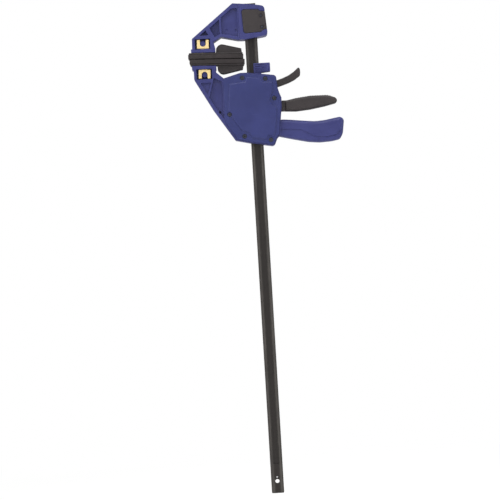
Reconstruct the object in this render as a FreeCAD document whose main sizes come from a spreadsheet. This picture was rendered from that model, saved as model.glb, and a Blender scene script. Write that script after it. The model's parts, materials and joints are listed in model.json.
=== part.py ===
import FreeCAD, Part
import os
import Sketcher
from FreeCAD import Placement, Rotation, Vector

# One-handed trigger bar clamp, closed, bar upright. +Z runs up the bar, +X points at the handle,
# -X at the jaws, and the clamp is thin along Y. The origin is the centre of the hang hole.

doc = FreeCAD.newDocument("bar_clamp")

# Driving dimensions, in mm and degrees. Heights are measured from the hang hole.
DIMS = {
    # steel bar
    "bar_wide": 21.2, "bar_thick": 9.0, "bar_low": -20.3, "bar_top": 822.5, "bar_corner": 2.0,
    "flange_wide": 5.2, "groove_deep": 2.2, "groove_low": 30.0, "bar_break": 0.5,
    "hang_rad": 3.65, "stop_z": 7.6, "stop_rad": 1.5, "stop_long": 13.0,
    "dowel_z": 792.0, "dowel_rad": 3.0, "dowel_long": 33.9,
    # fixed jaw
    "arm_half": 17.0, "head_half": 19.0, "web_half": 9.0, "fit_gap": 0.05,
    "head_round_low": 6.0, "head_round_top": 7.0, "cap_skin": 2.0, "cap_back": 24.4, "cap_round": 4.5,
    "window_left": -96.8, "window_right": -70.6, "window_deep": 13.5, "window_tall": 17.4,
    "lip_thick": 4.6, "lip_drop": 14.0, "lip_play": 3.0, "post_x": -83.2, "post_top_z": 757.0, "post_low_z": 703.9,
    "post_rad": 4.9, "post_short": 4.0, "shallow_half": 12.0, "tip_half": 14.0,
    "mark_rad": 2.0, "mark_deep": 0.8, "mark_one_x": -41.5, "mark_one_z": 777.5,
    "mark_two_x": -24.4, "mark_two_z": 776.6, "arm_hole_x": -60.6, "arm_hole_z": 637.6,
    "arm_hole_rad": 2.2, "arm_hole_half": 6.0,
    "rivet_rad": 2.1, "rivet_ring": 3.5, "rivet_sink": 1.2, "rivet_top_x": 18.6, "rivet_top_z": 798.8,
    "rivet_low_x": 19.8, "rivet_low_z": 779.6, "rivet_long": 37.4,
    # swivelling pads, measured from their own post
    "pad_tilt": 2.3, "pad_left": -25.5, "pad_right": 69.0, "pad_face": 25.9, "pad_back": 18.6,
    "carrier_back": 15.8, "pad_half": 18.5, "carrier_half": 17.0, "pad_round": 1.6, "hump_half": 11.0,
    "clip_half_wide": 10.2, "clip_notch": 5.0, "clip_foot": 8.4, "clip_top": 6.8, "clip_in": 4.0,
    "clip_out": 15.4, "neck_half": 4.4, "neck_out": 13.4,
    # carriage housing
    "core_half": 17.0, "ring_half": 20.0, "panel_half": 22.0, "cavity_half": 14.0,
    "guide_half_x": 15.0, "guide_half_y": 9.0, "guide_run": 0.15,
    "top_guide_low": 686.2, "top_guide_high": 697.0, "low_guide_low": 585.5, "low_guide_high": 600.0,
    "seat_low": 665.5, "seat_thick": 2.0, "seat_left": -34.0, "seat_right": 31.0, "seat_half": 13.9,
    "handle_half": 15.5, "handle_round": 7.0, "handle_end": 7.2, "handle_heel": 18.0,
    "handle_bend": 45.0, "relief_deep": 1.4, "panel_slope": 1.6,
    "screw_head_rad": 3.5, "screw_head_tall": 1.8, "screw_rad": 1.7, "screw_reach": 12.2,
    "screw_seat_rad": 4.1, "screw_seat_deep": 2.0,
    # ribbed block on the carriage
    "block_half": 9.6, "rib_left": 3.6, "rib_right": 19.4, "rib_stand": 1.4, "rib_tall": 1.6,
    "rib_first": 704.0, "rib_step": 3.2, "block_line": 0.9, "block_line_one": 22.0,
    "block_line_two": 26.0, "block_line_deep": 0.6,
    # trigger, measured from its pivot
    "trigger_x": -20.5, "trigger_z": 657.0, "trigger_pin": 3.0, "pin_run": 0.06, "pin_long": 34.6,
    "yoke_half": 10.4, "yoke_in": 6.4, "yoke_end": 34.5, "yoke_nose": 3.7, "nose_x": 38.0,
    "nose_z": -12.0, "grip_half": 13.0, "grip_round": 4.5, "grip_tip": 4.6, "grip_bend": 30.0, "slot_half": 11.4,
    # drive plates and springs
    "plate_left": -24.0, "plate_right": 22.0, "plate_half": 12.0, "plate_thick": 3.0,
    "plate_low": 634.6, "plate_gap": 0.2, "plate_run": 0.1, "coil_rad": 13.0, "coil_wire": 0.65,
    "coil_low": 600.7, "coil_high": 633.9, "coil_pitch": 4.7,
    "brake_coil_low": 668.3, "brake_coil_high": 673.4, "brake_coil_pitch": 2.3,
    # brake plate and release lever, measured from the rocking end of the plate
    "brake_x": -21.0, "brake_z": 675.4, "brake_tilt": 6.0, "brake_thick": 3.5, "brake_half": 11.0,
    "brake_long": 56.0, "brake_window": 21.72, "brake_window_y": 9.4, "brake_centre": 21.115,
    "brake_neck": 44.0, "brake_tongue": 6.0, "lever_half": 8.0, "lever_slot_half": 9.0,
    "lever_round": 2.0, "lever_tip": 2.1, "lever_bend": 30.0,
}

# Outlines, as corners in the X-Z plane. The pads, the trigger and the lever use their own pivot.
OUTLINES = {
    "upper_jaw": [(-28.9, 823.0), (-101.5, 766.0), (-102.0, 748.6), (-104.2, 748.2), (-104.2, 742.4),
                  (-62.6, 741.1), (-62.6, 749.0), (-64.8, 758.7), (-51.4, 766.8), (-22.5, 760.1),
                  (-10.7, 760.1), (-10.7, 821.0)],
    "jaw_head": [(-19.0, 821.9), (-19.0, 760.1), (-10.7, 760.1), (28.9, 765.6), (25.4, 815.6),
                 (10.8, 818.3)],
    "jaw_pocket_tip": [(-88.5, 770.6), (-77.2, 779.4), (-73.0, 770.6)],
    "jaw_pocket_mid": [(-70.2, 783.0), (-53.2, 796.2), (-53.2, 771.6), (-62.0, 766.6)],
    "jaw_pocket_root": [(-49.8, 799.6), (-31.5, 814.0), (-21.6, 814.4), (-21.6, 765.6), (-49.8, 772.0)],
    "cap": [(-11.8, 770.5), (-13.8, 811.0), (14.0, 809.8), (17.0, 807.0), (26.0, 806.0),
            (28.1, 776.5), (23.0, 775.5), (17.0, 771.6)],
    "cap_bed": [(-12.7, 769.7), (-14.7, 811.9), (14.4, 810.6), (17.4, 807.8), (27.0, 806.8),
                (29.2, 775.8), (23.0, 774.7), (17.0, 770.8)],
    "housing": [(-104.2, 720.1), (-104.2, 712.7), (-101.5, 712.3), (-101.5, 696.3), (-70.9, 641.4),
                (-36.6, 588.6), (-10.7, 582.4), (29.4, 575.2), (35.0, 588.4), (41.0, 594.0),
                (41.6, 613.0), (45.2, 641.4), (45.8, 657.0), (42.7, 665.1), (39.9, 675.8),
                (38.8, 695.9), (-10.7, 703.1), (-22.5, 703.3), (-51.1, 695.6), (-64.5, 707.6),
                (-62.6, 712.6), (-62.6, 718.2)],
    "cover": [(-52.2, 692.6), (-52.2, 620.6), (-34.6, 593.2), (-33.0, 590.0), (-10.5, 584.4),
              (28.4, 577.4), (33.2, 589.0), (38.6, 596.0), (39.8, 613.0), (43.6, 641.4),
              (44.2, 656.6), (41.2, 664.8), (38.4, 675.6), (37.4, 694.2), (-10.7, 701.4),
              (-22.5, 701.6)],
    "panel": [(-41.8, 685.4), (-46.4, 642.0), (-40.0, 626.0), (-26.6, 604.4), (-13.0, 599.0),
              (-9.0, 590.6), (15.6, 586.4), (20.6, 593.0), (29.6, 592.0), (34.8, 613.0), (36.6, 641.0),
              (28.0, 648.8), (26.4, 656.0), (29.4, 664.4), (32.2, 671.0), (31.8, 684.6), (15.0, 685.4),
              (12.0, 692.4), (-11.6, 695.4), (-15.0, 687.6)],
    "cavity": [(-32.0, 608.0), (-24.0, 600.0), (24.0, 600.0), (29.0, 606.0), (29.0, 685.6),
               (-26.0, 685.6), (-32.0, 680.0)],
    "plug": [(-31.6, 608.2), (-23.8, 600.4), (23.8, 600.4), (28.6, 606.2), (28.6, 685.2),
             (-25.8, 685.2), (-31.6, 679.8)],
    "block": [(1.9, 699.0), (14.0, 699.0), (14.0, 702.4), (29.6, 703.8), (29.6, 718.8), (1.2, 718.8),
              (1.2, 702.4), (1.9, 702.4)],
    "trigger_slot": [(27.0, 619.5), (60.0, 619.5), (60.0, 653.2), (46.5, 653.2), (27.0, 664.4)],
    "lower_pocket_tip": [(-91.0, 689.4), (-79.6, 668.6), (-72.8, 689.4)],
    "lower_pocket_mid": [(-68.2, 697.4), (-77.4, 664.0), (-66.6, 644.8), (-54.6, 626.4),
                         (-54.6, 690.8)],
    "handle": [(34.0, 592.0), (43.0, 589.8), (64.7, 584.4), (88.2, 579.0), (107.7, 577.0),
               (129.0, 578.0), (142.4, 580.6), (147.6, 590.0), (150.8, 613.0), (146.0, 619.2),
               (118.0, 614.6), (101.0, 613.6), (83.9, 615.4), (60.0, 618.4), (34.0, 621.0)],
    "relief": [(36.0, 603.9), (75.3, 600.6), (88.2, 594.0), (96.8, 588.6), (118.3, 585.6),
               (135.5, 588.8), (146.4, 598.4), (160.0, 600.0), (160.0, 570.0), (36.0, 570.0)],
    "trigger_yoke": [(-6.2, -6.0), (-6.2, 6.0), (36.0, 6.0), (50.0, 4.5), (66.6, -4.8), (74.0, -5.0),
                     (74.0, -22.8), (53.5, -23.0), (47.5, -15.0), (38.0, -12.0), (34.5, -6.0)],
    "trigger_grip": [(71.0, -5.6), (87.2, -2.6), (115.5, 0.4), (145.5, 0.0), (158.5, -4.4),
                     (163.0, -10.4), (158.5, -14.4), (140.5, -18.4), (115.5, -22.4), (90.5, -24.4),
                     (71.0, -23.2)],
    "hump": [(22.0, -15.9), (22.6, -8.0), (26.2, -3.2), (31.0, -1.1), (35.2, -1.5), (65.7, -8.5),
             (66.7, -15.9)],
    "lever": [(48.5, 4.2), (61.7, 5.9), (72.2, 7.9), (82.6, 10.8), (93.2, 16.0), (102.3, 22.4),
              (104.0, 18.3), (103.6, 11.9), (102.2, 7.4), (91.7, 1.6), (81.3, -1.8), (71.0, -4.0),
              (60.6, -5.8), (48.5, -6.4)],
}

# Cover screws, as X and Z of each axis.
SCREWS = [(-19.3, 694.2), (20.0, 690.9), (33.4, 656.5), (-44.4, 632.8), (-21.0, 594.1), (23.7, 585.5)]


def fillSheet():
    sheet = doc.addObject("Spreadsheet::Sheet", "dims")
    cells = dict(DIMS)
    for name, points in list(OUTLINES.items()) + [("screw", SCREWS)]:
        for i, (x, z) in enumerate(points):
            cells[f"{name}_x_{i}_at"] = x
            cells[f"{name}_z_{i}_at"] = z
    for row, (alias, value) in enumerate(cells.items(), start=1):
        sheet.set(f"A{row}", alias)
        sheet.set(f"B{row}", str(value))
        sheet.setAlias(f"B{row}", alias)
    doc.recompute()
    return sheet


sheet = fillSheet()


def value(expression):
    return float(sheet.evalExpression(expression))


def table(name, flip=False):
    sign = "-" if flip else ""
    return [(f"dims.{name}_x_{i}_at", f"{sign}dims.{name}_z_{i}_at") for i in range(len(OUTLINES[name]))]


def box(left, right, low, high):
    return [(left, low), (right, low), (right, high), (left, high)]


def newBody(label, x=None, z=None, tilt=None):
    body = doc.addObject("PartDesign::Body", label)
    body.Label = label
    if tilt:
        body.Placement = Placement(Vector(), Rotation(Vector(0, 1, 0), 1))
        body.setExpression("Placement.Rotation.Angle", tilt)
    if x:
        body.setExpression("Placement.Base.x", x)
    if z:
        body.setExpression("Placement.Base.z", z)
    return body


def planeOf(body, role):
    return next(f for f in body.Origin.OriginFeatures if f.Role == role)


def newSketch(body, name, plane, offset):
    sketch = body.newObject("Sketcher::SketchObject", name)
    sketch.AttachmentSupport = [(planeOf(body, plane), "")]
    sketch.MapMode = "FlatFace"
    if offset:
        sketch.setExpression("AttachmentOffset.Base.z", offset)
    return sketch


def pin(sketch, kind, geo, point, expression):
    n = sketch.addConstraint(Sketcher.Constraint(kind, -1, 1, geo, point, value(expression)))
    sketch.setExpression(f"Constraints[{n}]", expression)


def polygon(body, name, points, plane="XZ_Plane", offset=None):
    sketch = newSketch(body, name, plane, offset)
    spots = [Vector(value(x), value(y), 0) for x, y in points]
    for i, spot in enumerate(spots):
        sketch.addGeometry(Part.LineSegment(spot, spots[(i + 1) % len(spots)]), False)
    for i, (x, y) in enumerate(points):
        sketch.addConstraint(Sketcher.Constraint("Coincident", i, 2, (i + 1) % len(points), 1))
        pin(sketch, "DistanceX", i, 1, x)
        pin(sketch, "DistanceY", i, 1, y)
    return sketch


def circles(body, name, rounds, plane="XZ_Plane", offset=None):
    sketch = newSketch(body, name, plane, offset)
    for i, (x, y, radius) in enumerate(rounds):
        centre = Vector(value(x), value(y), 0)
        sketch.addGeometry(Part.Circle(centre, Vector(0, 0, 1), value(radius)), False)
        n = sketch.addConstraint(Sketcher.Constraint("Radius", i, value(radius)))
        sketch.setExpression(f"Constraints[{n}]", radius)
        pin(sketch, "DistanceX", i, 3, x)
        pin(sketch, "DistanceY", i, 3, y)
    return sketch


def feature(kind, sketch, name, length=None, both=False, back=False):
    body = sketch.getParentGeoFeatureGroup()
    before = body.Shape.Volume if body.Tip else 0.0
    made = body.newObject(f"PartDesign::{kind}", name)
    made.Profile = sketch
    if length:
        made.setExpression("Length", length)
    else:
        made.Type = "ThroughAll"
    if both:
        made.SideType = "Symmetric"
    made.Reversed = back
    body.Tip = made
    doc.recompute()
    change = body.Shape.Volume - before
    if change * (1 if kind == "Pad" else -1) <= 0:
        raise ValueError(f"{body.Label}: {name} changed the volume by {change:.1f}")
    return made


def pad(sketch, length, both=True, back=False):
    return feature("Pad", sketch, sketch.Name + "_pad", length, both, back)


def pocket(sketch, length=None, both=False, back=False):
    return feature("Pocket", sketch, sketch.Name + "_cut", length, both, back)


def mirror(body, features, name, plane="XZ_Plane"):
    made = body.newObject("PartDesign::Mirrored", name)
    made.Originals = features
    made.MirrorPlane = (planeOf(body, plane), [""])
    body.Tip = made
    doc.recompute()
    return made


def edgesWhere(shape, test):
    return [f"Edge{i + 1}" for i, edge in enumerate(shape.Edges) if test(edge)]


def dress(body, kind, name, edges, size):
    base = body.Tip
    made = body.newObject(f"PartDesign::{kind}", name)
    made.Base = (base, edges)
    made.setExpression("Radius" if kind == "Fillet" else "Size", size)
    body.Tip = made
    doc.recompute()
    return made


def straight(edge, axis):
    if len(edge.Vertexes) < 2:
        return False
    span = edge.Vertexes[1].Point - edge.Vertexes[0].Point
    return abs(span.Length - edge.Length) < 1e-6 and abs(abs(span.dot(axis)) - span.Length) < 1e-6


def roundCorners(body, name, corners, radius):
    spots = [(value(x), value(z)) for x, z in corners]

    def at(edge):
        spot = edge.CenterOfMass
        return straight(edge, Vector(0, 1, 0)) and any(
            abs(spot.x - x) < 0.01 and abs(spot.z - z) < 0.01 for x, z in spots)

    return dress(body, "Fillet", name, edgesWhere(body.Tip.Shape, at), radius)


def rim(shape, half, test):
    # edges of the two broad faces, at Y = -half and Y = +half
    return edgesWhere(shape, lambda e: abs(abs(e.CenterOfMass.y) - half) < 0.01
                      and e.BoundBox.YLength < 0.01 and test(e.CenterOfMass))


def roundBar(label, radius, length, x, z):
    rod = doc.addObject("Part::Cylinder", label)
    rod.Label = label
    rod.Placement = Placement(Vector(), Rotation(Vector(1, 0, 0), 90))
    for prop, expression in (("Radius", radius), ("Height", length), ("Placement.Base.x", x),
                             ("Placement.Base.y", length + " / 2"), ("Placement.Base.z", z)):
        rod.setExpression(prop, expression)
    return rod


def cut(label, base, tool):
    made = doc.addObject("Part::Cut", label)
    made.Label = label
    made.Base, made.Tool = base, tool
    return made


def group(label, members):
    made = doc.addObject("Part::Compound", label)
    made.Label = label
    made.Links = members
    return made


def barWindow(play):
    half_x, half_y = f"(dims.bar_wide / 2 + {play})", f"(dims.bar_thick / 2 + {play})"
    return box("-" + half_x, half_x, "-" + half_y, half_y)


def makeBar():
    body = newBody("bar")
    half = "dims.bar_wide / 2"
    pad(polygon(body, "bar_side", box("-" + half, half, "dims.bar_low", "dims.bar_top")), "dims.bar_thick")
    roundCorners(body, "bar_end_round", box("-" + half, half, "dims.bar_low", "dims.bar_low"),
                 "dims.bar_corner")
    inner = "(dims.bar_wide / 2 - dims.flange_wide)"
    groove = pocket(polygon(body, "bar_groove", box("-" + inner, inner, "dims.groove_low", "dims.bar_top"),
                            offset="dims.bar_thick / 2"), "dims.groove_deep")
    mirror(body, [groove], "bar_groove_rear")
    pocket(circles(body, "bar_holes", [("0", "0", "dims.hang_rad"), ("0", "dims.stop_z", "dims.stop_rad"),
                                       ("0", "dims.dowel_z", "dims.dowel_rad")]), both=True)
    side = value("dims.bar_wide / 2")
    dress(body, "Chamfer", "bar_edge_break", edgesWhere(body.Tip.Shape, lambda e: straight(
        e, Vector(0, 0, 1)) and abs(abs(e.CenterOfMass.x) - side) < 0.01), "dims.bar_break")
    return body


def clipWindow(body, name, post_z, down):
    # both faces are opened beside the lip; a round post is left standing in each recess
    near = f"dims.post_{post_z} {'-' if down else '+'} (dims.lip_drop - dims.lip_thick)"
    far = f"{near} {'+' if down else '-'} dims.window_tall"
    low, high = (near, far) if down else (far, near)
    recess = pocket(polygon(body, name, box("dims.window_left", "dims.window_right", low, high),
                            offset="dims.arm_half"), "dims.window_deep")
    mirror(body, [recess], name + "_rear")
    pad(circles(body, name + "_post", [("dims.post_x", f"dims.post_{post_z}", "dims.post_rad")]),
        "2 * (dims.arm_half - dims.post_short)")
    lip = f"dims.post_{post_z} {'-' if down else '+'} (dims.lip_drop + dims.lip_play)"
    slot = polygon(body, name + "_slot", box("dims.post_x - dims.neck_half - 1.2",
                                             "dims.post_x + dims.neck_half + 1.2",
                                             "dims.clip_in - 0.2", "dims.neck_out + 0.3"),
                   plane="XY_Plane", offset=lip)
    through = pocket(slot, "dims.lip_thick + dims.lip_play + 0.4", back=down)
    mirror(body, [through], name + "_slot_rear")


def makeUpperJaw():
    body = newBody("upper_jaw")
    pad(polygon(body, "jaw_arm", table("upper_jaw")), "2 * dims.arm_half")
    head = table("jaw_head")
    pad(polygon(body, "jaw_head", head), "2 * dims.head_half")
    roundCorners(body, "head_low_round", [head[3]], "dims.head_round_low")
    roundCorners(body, "head_top_round", [head[4]], "dims.head_round_top")
    clipWindow(body, "jaw_window", "top_z", True)
    deep = [pocket(polygon(body, f"jaw_pocket_{n}", table(f"jaw_pocket_{n}"), offset="dims.arm_half"),
                   f"dims.arm_half - dims.{half}")
            for n, half in (("tip", "web_half"), ("mid", "web_half"), ("root", "shallow_half"))]
    deep.append(pocket(circles(body, "jaw_marks", [("dims.mark_one_x", "dims.mark_one_z", "dims.mark_rad"),
                                                   ("dims.mark_two_x", "dims.mark_two_z", "dims.mark_rad")],
                               offset="dims.arm_half"),
                       "dims.arm_half - dims.shallow_half + dims.mark_deep"))
    mirror(body, deep, "jaw_pockets_rear")
    bed = table("cap_bed")
    skin = pocket(polygon(body, "cap_bed", bed, offset="dims.head_half"), "dims.cap_skin")
    mirror(body, [skin], "cap_bed_rear")
    roundCorners(body, "cap_bed_round", bed[:2], "dims.cap_round + 0.8")
    edge = box("dims.cap_back", "dims.cap_back + 9", "dims.cap_z_6_at", "dims.cap_z_3_at")
    pocket(polygon(body, "cap_back_bed", edge), both=True)
    pocket(polygon(body, "jaw_bar_way", barWindow("dims.fit_gap"), plane="XY_Plane"), both=True)
    pocket(circles(body, "jaw_holes", [("0", "dims.dowel_z", "dims.dowel_rad"),
                                       ("dims.rivet_top_x", "dims.rivet_top_z", "dims.rivet_rad"),
                                       ("dims.rivet_low_x", "dims.rivet_low_z", "dims.rivet_rad")]),
           both=True)
    return body


def makeCap():
    body = newBody("jaw_cap")
    spots = table("cap")
    pad(polygon(body, "cap_side", spots), "2 * dims.head_half")
    roundCorners(body, "cap_round", spots[:2], "dims.cap_round")
    pocket(polygon(body, "cap_hollow", box("-30", "dims.cap_back", "-dims.arm_half", "dims.arm_half"),
                   plane="XY_Plane"), both=True)
    spots = [("dims.rivet_top_x", "dims.rivet_top_z"), ("dims.rivet_low_x", "dims.rivet_low_z")]
    pocket(circles(body, "cap_holes", [(x, z, "dims.rivet_rad") for x, z in spots]), both=True)
    ring = pocket(circles(body, "cap_rings", [(x, z, "dims.rivet_ring") for x, z in spots],
                          offset="dims.head_half"), "dims.rivet_sink")
    mirror(body, [ring], "cap_rings_rear")
    return body


def makeRivets():
    return group("cap_rivets", [
        roundBar(f"rivet_{spot}", "dims.rivet_rad", "dims.rivet_long", f"dims.rivet_{spot}_x",
                 f"dims.rivet_{spot}_z") for spot in ("top", "low")])


def makePadParts(side, down):
    # the lower pad is the same moulding turned over, so only the sign of Z changes
    sign = "-" if down else ""
    place = dict(x="dims.post_x", z=f"dims.post_{'top' if down else 'low'}_z", tilt="dims.pad_tilt")

    def band(left, right, near, far):
        return box(left, right, sign + near, sign + far)

    face = newBody(f"{side}_pad", **place)
    outline = band("dims.pad_left", "dims.pad_right", "dims.pad_back", "dims.pad_face")
    pad(polygon(face, f"{side}_pad_side", outline), "2 * dims.pad_half")
    reach = value("dims.pad_half")
    dress(face, "Fillet", f"{side}_pad_round", edgesWhere(face.Tip.Shape, lambda e: straight(
        e, Vector(0, 0, 1)) and abs(abs(e.CenterOfMass.y) - reach) < 0.01), "dims.pad_round")

    carrier = newBody(f"{side}_pad_carrier", **place)
    pad(polygon(carrier, f"{side}_carrier_side", band("dims.pad_left + 1.2", "dims.pad_right - 1",
                                                      "dims.carrier_back", "dims.pad_back")),
        "2 * dims.carrier_half")
    pad(polygon(carrier, f"{side}_hump", table("hump", flip=not down)), "2 * dims.hump_half")

    clip = newBody(f"{side}_clip", **place)
    half, notch = "dims.clip_half_wide", "dims.clip_notch"
    top = "dims.clip_top" if down else "-dims.clip_top"
    foot, back = sign + "dims.clip_foot", sign + "dims.carrier_back"
    arms = polygon(clip, f"{side}_clip_side", box("-" + half, half, foot, top), offset="-dims.clip_out")
    blank = pad(arms, "dims.clip_out - dims.clip_in", both=False)
    neck = polygon(clip, f"{side}_clip_neck", box("-dims.neck_half", "dims.neck_half", back, foot),
                   offset="-dims.neck_out")
    stem = pad(neck, "dims.neck_out - dims.clip_in", both=False)
    hole = circles(clip, f"{side}_clip_hole", [("0", "0", notch)])
    bite = pocket(hole, both=True)
    mouth = pocket(polygon(clip, f"{side}_clip_mouth", box("-" + notch, notch, "0", top)), both=True)
    return face, carrier, clip, (blank, stem, bite, mouth)


def makeHousing():
    body = newBody("housing")
    handle = table("handle")
    pad(polygon(body, "handle_side", handle), "2 * dims.handle_half")
    roundCorners(body, "handle_end_round", [handle[6], handle[8], handle[9]], "dims.handle_end")
    roundCorners(body, "handle_curve", handle[2:6] + handle[10:13], "dims.handle_bend")
    roundCorners(body, "handle_heel", handle[7:8], "dims.handle_heel")
    half = value("dims.handle_half")
    dress(body, "Fillet", "handle_round", rim(body.Tip.Shape, half, lambda p: p.x > 36),
          "dims.handle_round")
    band = pocket(polygon(body, "handle_relief", table("relief"), offset="dims.handle_half"),
                  "dims.relief_deep")
    mirror(body, [band], "handle_relief_rear")
    outline = table("housing")
    pad(polygon(body, "housing_side", outline), "2 * dims.core_half")
    roundCorners(body, "housing_low_round", [outline[7], outline[15]], "dims.head_round_low")
    pad(polygon(body, "rear_ring", table("cover"), offset="-dims.ring_half"),
        "dims.ring_half - dims.core_half", both=False)
    pad(polygon(body, "rear_panel", table("panel"), offset="-dims.panel_half"),
        "dims.panel_half - dims.ring_half", both=False)
    top = value("dims.panel_half")
    dress(body, "Chamfer", "rear_panel_slope", rim(body.Tip.Shape, top, lambda p: True), "dims.panel_slope")
    clipWindow(body, "lower_window", "low_z", False)
    deep = [pocket(polygon(body, f"lower_pocket_{n}", table(f"lower_pocket_{n}"),
                           offset="dims.arm_half"), f"dims.arm_half - dims.{half}")
            for n, half in (("tip", "tip_half"), ("mid", "shallow_half"))]
    deep.append(pocket(circles(body, "arm_hole", [("dims.arm_hole_x", "dims.arm_hole_z",
                                                   "dims.arm_hole_rad")], offset="dims.arm_half"),
                       "dims.arm_half - dims.arm_hole_half"))
    mirror(body, deep, "lower_pockets_rear")
    pocket(polygon(body, "cavity", table("cavity"), offset="dims.core_half"),
           "dims.core_half + dims.cavity_half")
    pocket(polygon(body, "bar_way", barWindow("0.6"), plane="XY_Plane"), both=True)
    for name in ("top", "low"):
        bed = polygon(body, f"{name}_guide_bed", box("-dims.guide_half_x", "dims.guide_half_x",
                                                     "-dims.guide_half_y", "dims.guide_half_y"),
                      plane="XY_Plane", offset=f"dims.{name}_guide_low")
        pocket(bed, f"dims.{name}_guide_high - dims.{name}_guide_low", back=True)
    pocket(polygon(body, "trigger_slot", table("trigger_slot")), "2 * dims.slot_half", both=True)
    slots = (("lever_slot", "26", "60", "665.2", "689.2", "dims.lever_slot_half"),
             ("seat_slot", "dims.seat_left", "dims.seat_right", "dims.seat_low",
              "dims.seat_low + dims.seat_thick", "dims.seat_half"))
    for name, left, right, low, high, reach in slots:
        pocket(polygon(body, name, box(left, right, low, high)), "2 * " + reach, both=True)
    shelf = box("dims.cavity_x_0_at - 0.5", "dims.brake_x", "dims.brake_z", "dims.cavity_z_5_at + 0.5")
    pad(polygon(body, "brake_shelf", shelf), "2 * dims.cavity_half")
    pocket(circles(body, "brake_rest", [("dims.brake_x", "dims.brake_z", "dims.brake_thick / 2 + 0.1")]),
           "2 * dims.cavity_half", both=True)
    pocket(circles(body, "pin_seat", [("dims.trigger_x", "dims.trigger_z", "dims.trigger_pin")]),
           "dims.pin_long", both=True)
    threads = [(f"dims.screw_x_{i}_at", f"dims.screw_z_{i}_at", "dims.screw_rad")
               for i in range(len(SCREWS))]
    pocket(circles(body, "screw_threads", threads, offset="dims.core_half"),
           "dims.core_half - dims.screw_reach + 0.2")
    pocket(polygon(body, "block_bed", box("dims.block_x_0_at", "dims.block_x_1_at",
                                          "-dims.block_half", "dims.block_half"),
                   plane="XY_Plane", offset="dims.block_z_0_at"), "20", back=True)
    return body


def makeCover():
    body = newBody("front_cover")
    pad(polygon(body, "cover_ring", table("cover"), offset="dims.core_half"),
        "dims.ring_half - dims.core_half", both=False)
    pad(polygon(body, "cover_plug", table("plug"), offset="dims.core_half"),
        "dims.core_half - dims.cavity_half - 0.2", both=False, back=True)
    pad(polygon(body, "cover_panel", table("panel"), offset="dims.ring_half"),
        "dims.panel_half - dims.ring_half", both=False)
    top = value("dims.panel_half")
    dress(body, "Chamfer", "cover_panel_slope", rim(body.Tip.Shape, top, lambda p: True), "dims.panel_slope")
    seats, shanks = [], []
    for i in range(len(SCREWS)):
        spot = (f"dims.screw_x_{i}_at", f"dims.screw_z_{i}_at")
        seats.append(spot + ("dims.screw_seat_rad",))
        shanks.append(spot + ("dims.screw_rad + 0.1",))
    pocket(circles(body, "screw_seats", seats, offset="dims.panel_half"),
           "dims.panel_half - dims.ring_half + dims.screw_seat_deep")
    pocket(circles(body, "screw_ways", shanks), both=True)
    pocket(circles(body, "cover_pin_seat", [("dims.trigger_x", "dims.trigger_z", "dims.trigger_pin")]),
           "dims.pin_long", both=True)
    return body


def makeScrews():
    screws = []
    top = "(dims.ring_half - 0.1)"
    under = "(dims.ring_half - 0.1 - dims.screw_head_tall)"
    for i in range(len(SCREWS)):
        body = newBody(f"screw_{i}", x=f"dims.screw_x_{i}_at", z=f"dims.screw_z_{i}_at")
        pad(circles(body, f"head_{i}", [("0", "0", "dims.screw_head_rad")], offset=top),
            "dims.screw_head_tall", both=False, back=True)
        pad(circles(body, f"shank_{i}", [("0", "0", "dims.screw_rad")], offset=under),
            under + " - dims.screw_reach", both=False, back=True)
        for n, (wide, tall) in enumerate((("2.1", "0.45"), ("0.45", "2.1"))):
            pocket(polygon(body, f"drive_{i}_{n}", box("-" + wide, wide, "-" + tall, tall), offset=top), "1.1")
        screws.append(body)
    return group("cover_screws", screws)


def slab(label, left, right, half_y, low, tall):
    made = doc.addObject("Part::Box", label)
    made.Label = label
    for prop, expression in (("Length", f"{right} - ({left})"), ("Width", f"2 * {half_y}"),
                             ("Height", tall), ("Placement.Base.x", left),
                             ("Placement.Base.y", "-" + half_y), ("Placement.Base.z", low)):
        made.setExpression(prop, expression)
    return made


def windowed(label, left, right, half_y, low, tall, play):
    # a flat steel or nylon block with a rectangular way for the bar
    blank = slab(label + "_blank", left, right, half_y, low, tall)
    half_x, bar_y = f"(dims.bar_wide / 2 + {play})", f"(dims.bar_thick / 2 + {play})"
    way = slab(label + "_way", "-" + half_x, half_x, bar_y, f"{low} - 1", f"{tall} + 2")
    return cut(label, blank, way)


def coil(label, low, high, pitch):
    spine = doc.addObject("Part::Helix", label + "_spine")
    wire = doc.addObject("Part::RegularPolygon", label + "_wire")
    wire.Polygon = 8
    wire.Placement = Placement(Vector(), Rotation(Vector(1, 0, 0), 90))
    for made, prop, expression in ((spine, "Pitch", pitch), (spine, "Height", f"{high} - {low}"),
                                   (spine, "Radius", "dims.coil_rad"), (wire, "Circumradius", "dims.coil_wire"),
                                   (wire, "Placement.Base.x", "dims.coil_rad"),
                                   (spine, "Placement.Base.z", low), (wire, "Placement.Base.z", low)):
        made.setExpression(prop, expression)
    made = doc.addObject("Part::Sweep", label)
    made.Label = label
    made.Sections = [wire]
    made.Spine = (spine, [])
    made.Solid = True
    made.Frenet = True
    return made


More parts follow.
